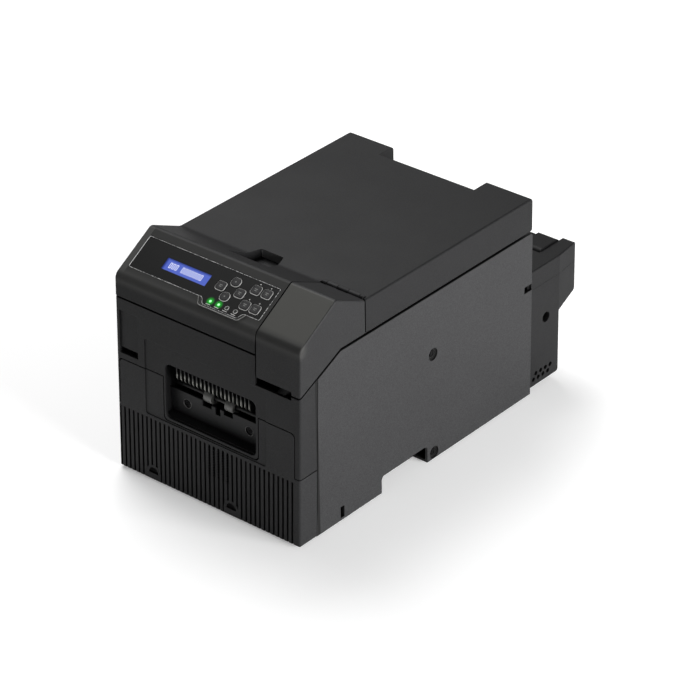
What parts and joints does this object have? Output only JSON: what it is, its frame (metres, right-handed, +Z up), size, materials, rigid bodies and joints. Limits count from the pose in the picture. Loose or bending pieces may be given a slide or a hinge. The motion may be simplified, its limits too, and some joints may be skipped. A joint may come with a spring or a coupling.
{
  "type": "label printer",
  "caption": "Desktop colour label printer with a hinged top cover, sloped control panel, release handle, front label exit and a rear feeder with a hinged cover.",
  "frame": {"origin": "on the ground under the centre of the bounding box", "axes": "+Z up, +Y towards the rear feeder, so the front faces -Y, and +X is on the right seen from the front"},
  "size_m": [0.224, 0.4179, 0.2349],
  "materials": {
    "housing_plastic": "fine-textured moulding",
    "inner_plastic": "plain moulding",
    "steel": "zinc-coated sheet",
    "screw_steel": "dark plated",
    "rubber": "matt",
    "roller_rubber": "ground surface",
    "belt_film": "smooth",
    "drum_coating": "polished",
    "toner_black": "plain moulding",
    "toner_yellow": "plain moulding",
    "toner_magenta": "plain moulding",
    "toner_cyan": "plain moulding",
    "circuit_board": "solder mask",
    "panel_film": "satin film",
    "screen": "back-lit",
    "lamp_lens": "clear lens",
    "key_plastic": "satin",
    "switch_plastic": "satin"
  },
  "bodies": {
    "body": {"base_tray": "housing_plastic", "rubber_feet": "rubber", "left_side_panel": "housing_plastic", "right_side_panel": "housing_plastic", "front_upper_cover": "housing_plastic", "front_lower_cover": "housing_plastic", "rear_cover": "housing_plastic", "left_side_frame": "steel", "right_side_frame": "steel", "hinge_brackets": "steel", "exit_guide": "inner_plastic", "exit_comb": "inner_plastic", "fuser_housing": "inner_plastic", "belt_frame": "inner_plastic", "transfer_belt": "belt_film", "image_unit_black": "inner_plastic", "image_unit_yellow": "inner_plastic", "image_unit_magenta": "inner_plastic", "image_unit_cyan": "inner_plastic", "toner_cartridge_black": "toner_black", "toner_cartridge_yellow": "toner_yellow", "toner_cartridge_magenta": "toner_magenta", "toner_cartridge_cyan": "toner_cyan", "power_supply": "steel", "main_board": "circuit_board", "power_inlet": "inner_plastic", "drive_motor": "steel", "drive_gearbox": "inner_plastic", "feeder_base": "housing_plastic", "feeder_top": "housing_plastic", "cover_screws": "screw_steel"},
    "lid": {"top_cover": "housing_plastic", "panel_overlay": "panel_film", "lcd_screen": "screen", "panel_board": "circuit_board", "status_lamps": "lamp_lens", "led_heads": "inner_plastic"},
    "handle": {"release_handle": "housing_plastic"},
    "latch": {"latch_shaft": "steel"},
    "key_back": {"key_back": "key_plastic"},
    "key_up": {"key_up": "key_plastic"},
    "key_down": {"key_down": "key_plastic"},
    "key_enter": {"key_enter": "key_plastic"},
    "key_menu": {"key_menu": "key_plastic"},
    "key_cancel": {"key_cancel": "key_plastic"},
    "key_online": {"key_online": "key_plastic"},
    "key_feed": {"key_feed": "key_plastic"},
    "drum_black": {"image_drum_black": "drum_coating"},
    "drum_yellow": {"image_drum_yellow": "drum_coating"},
    "drum_magenta": {"image_drum_magenta": "drum_coating"},
    "drum_cyan": {"image_drum_cyan": "drum_coating"},
    "belt_drive": {"belt_drive_roller": "roller_rubber"},
    "belt_idler": {"belt_idler_roller": "roller_rubber"},
    "fuser_top": {"fuser_roller": "roller_rubber"},
    "fuser_bottom": {"pressure_roller": "roller_rubber"},
    "exit_rollers": {"exit_roller": "roller_rubber"},
    "feeder_lid": {"feeder_cover": "housing_plastic"},
    "feed_wheel": {"feed_roller": "roller_rubber"},
    "rocker": {"rocker_switch": "switch_plastic"}
  },
  "joints": [
    {"name": "lid_hinge", "type": "hinge", "parent": "body", "child": "lid", "pos_m": [0, 0.1275, 0.1885], "axis": [-1, 0, 0], "range_deg": [0, 70]},
    {"name": "handle_hinge", "type": "hinge", "parent": "lid", "child": "handle", "pos_m": [0.086, -0.11, 0.2172], "axis": [-1, 0, 0], "range_deg": [0, 18], "stiffness_Nm_per_rad": 0.2, "springref_deg": -11.46},
    {"name": "latch_turn", "type": "hinge", "parent": "lid", "child": "latch", "pos_m": [0, -0.125, 0.192], "axis": [-1, 0, 0], "range_deg": [0, 14]},
    {"name": "press_back", "type": "slide", "parent": "lid", "child": "key_back", "axis": [0, 0.5158, -0.8567], "range_m": [0, 0.001], "stiffness_N_per_m": 400, "springref_m": -0.0005},
    {"name": "press_up", "type": "slide", "parent": "lid", "child": "key_up", "axis": [0, 0.5158, -0.8567], "range_m": [0, 0.001], "stiffness_N_per_m": 400, "springref_m": -0.0005},
    {"name": "press_down", "type": "slide", "parent": "lid", "child": "key_down", "axis": [0, 0.5158, -0.8567], "range_m": [0, 0.001], "stiffness_N_per_m": 400, "springref_m": -0.0005},
    {"name": "press_enter", "type": "slide", "parent": "lid", "child": "key_enter", "axis": [0, 0.5158, -0.8567], "range_m": [0, 0.001], "stiffness_N_per_m": 400, "springref_m": -0.0005},
    {"name": "press_menu", "type": "slide", "parent": "lid", "child": "key_menu", "axis": [0, 0.5158, -0.8567], "range_m": [0, 0.001], "stiffness_N_per_m": 400, "springref_m": -0.0005},
    {"name": "press_cancel", "type": "slide", "parent": "lid", "child": "key_cancel", "axis": [0, 0.5158, -0.8567], "range_m": [0, 0.001], "stiffness_N_per_m": 400, "springref_m": -0.0005},
    {"name": "press_online", "type": "slide", "parent": "lid", "child": "key_online", "axis": [0, 0.5158, -0.8567], "range_m": [0, 0.001], "stiffness_N_per_m": 400, "springref_m": -0.0005},
    {"name": "press_feed", "type": "slide", "parent": "lid", "child": "key_feed", "axis": [0, 0.5158, -0.8567], "range_m": [0, 0.001], "stiffness_N_per_m": 400, "springref_m": -0.0005},
    {"name": "drum_turn_black", "type": "hinge", "parent": "body", "child": "drum_black", "pos_m": [0, -0.094, 0.1353], "axis": [1, 0, 0], "continuous": true},
    {"name": "drum_turn_yellow", "type": "hinge", "parent": "body", "child": "drum_yellow", "pos_m": [0, -0.044, 0.1353], "axis": [1, 0, 0], "continuous": true},
    {"name": "drum_turn_magenta", "type": "hinge", "parent": "body", "child": "drum_magenta", "pos_m": [0, 0.006, 0.1353], "axis": [1, 0, 0], "continuous": true},
    {"name": "drum_turn_cyan", "type": "hinge", "parent": "body", "child": "drum_cyan", "pos_m": [0, 0.056, 0.1353], "axis": [1, 0, 0], "continuous": true},
    {"name": "belt_drive_turn", "type": "hinge", "parent": "body", "child": "belt_drive", "pos_m": [0, -0.111, 0.10885], "axis": [1, 0, 0], "continuous": true},
    {"name": "belt_idler_turn", "type": "hinge", "parent": "body", "child": "belt_idler", "pos_m": [0, 0.079, 0.10885], "axis": [1, 0, 0], "continuous": true},
    {"name": "fuser_turn", "type": "hinge", "parent": "body", "child": "fuser_top", "pos_m": [0, -0.148, 0.1328], "axis": [1, 0, 0], "continuous": true},
    {"name": "pressure_turn", "type": "hinge", "parent": "body", "child": "fuser_bottom", "pos_m": [0, -0.148, 0.1072], "axis": [1, 0, 0], "continuous": true},
    {"name": "exit_turn", "type": "hinge", "parent": "body", "child": "exit_rollers", "pos_m": [0, -0.1875, 0.107], "axis": [1, 0, 0], "continuous": true},
    {"name": "feeder_lid_hinge", "type": "hinge", "parent": "body", "child": "feeder_lid", "pos_m": [0, 0.176, 0.134], "axis": [1, 0, 0], "range_deg": [0, 95]},
    {"name": "feed_turn", "type": "hinge", "parent": "body", "child": "feed_wheel", "pos_m": [0, 0.153, 0.1102], "axis": [1, 0, 0], "continuous": true},
    {"name": "rocker_turn", "type": "hinge", "parent": "body", "child": "rocker", "pos_m": [-0.015, 0.133, 0.16], "axis": [1, 0, 0], "range_deg": [0, 14]}
  ],
  "couplings": [
    {"joint": "latch_turn", "follows": "handle_hinge", "ratio": 0.75},
    {"joint": "drum_turn_yellow", "follows": "drum_turn_black", "ratio": 1},
    {"joint": "drum_turn_magenta", "follows": "drum_turn_black", "ratio": 1},
    {"joint": "drum_turn_cyan", "follows": "drum_turn_black", "ratio": 1},
    {"joint": "belt_drive_turn", "follows": "drum_turn_black", "ratio": -1.3453},
    {"joint": "belt_idler_turn", "follows": "drum_turn_black", "ratio": -1.3453},
    {"joint": "fuser_turn", "follows": "drum_turn_black", "ratio": 1.2},
    {"joint": "pressure_turn", "follows": "drum_turn_black", "ratio": -1.2},
    {"joint": "exit_turn", "follows": "drum_turn_black", "ratio": -2.1429}
  ]
}
